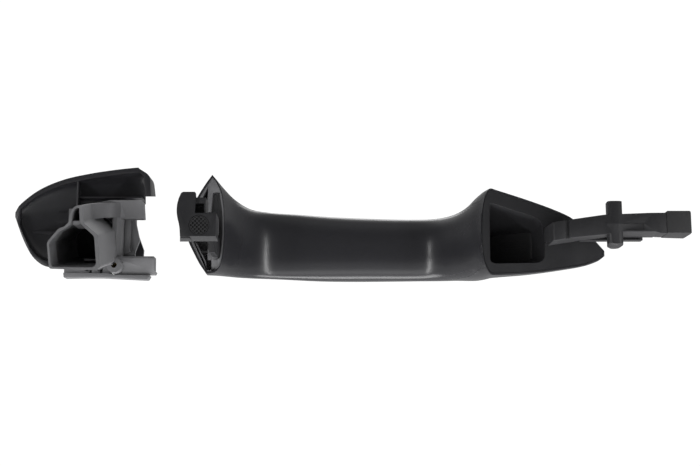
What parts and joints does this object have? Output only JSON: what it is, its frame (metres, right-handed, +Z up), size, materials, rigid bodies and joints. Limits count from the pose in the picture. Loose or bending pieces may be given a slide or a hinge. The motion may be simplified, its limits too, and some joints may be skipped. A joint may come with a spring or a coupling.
{
  "type": "car door handle",
  "caption": "Strap-type exterior car door handle with hinge arm, pull claw and a separate sliding end cap with its lock tower, in satin black plastic.",
  "frame": {"origin": "centre of the hinge pin, on its axis, midway up the arm", "axes": "+X along the strap towards the hinge arm's end, +Y away from the car, +Z up along the hinge pin"},
  "size_m": [0.2978, 0.0942, 0.0527],
  "materials": {
    "outer_satin": "satin black, smooth primed outer skin",
    "inner_satin": "satin black, smooth",
    "moulded_black": "matt moulded, glass filled",
    "rubber_black": "matt",
    "zinc_steel": "zinc plated",
    "brass_insert": "turned"
  },
  "bodies": {
    "pivot": {"hinge_pin": "zinc_steel"},
    "handle": {"grip_outer_shell": "outer_satin", "grip_inner_shell": "inner_satin", "grip_core": "moulded_black", "front_foot_plate": "moulded_black", "rear_foot_plate": "moulded_black", "hinge_arm": "moulded_black", "arm_leaf_spring": "moulded_black", "arm_end_buffer": "rubber_black", "claw_hook": "moulded_black", "claw_buffer": "rubber_black", "claw_pin": "zinc_steel", "foot_screw_front": "zinc_steel", "foot_screw_rear": "zinc_steel", "arm_screw": "zinc_steel"},
    "end_cap": {"cap_cover": "outer_satin", "lock_carrier": "moulded_black", "cap_clip": "moulded_black", "fixing_insert": "brass_insert", "cap_lower_rail": "moulded_black"}
  },
  "joints": [
    {"name": "handle_pull", "type": "hinge", "parent": "pivot", "child": "handle", "pos_m": [0, 0, 0], "axis": [0, 0, -1], "range_deg": [0, 10], "stiffness_Nm_per_rad": 6, "springref_deg": -8.59},
    {"name": "cap_fit", "type": "slide", "parent": "pivot", "child": "end_cap", "axis": [1, 0, 0], "range_m": [0, 0.02]}
  ]
}
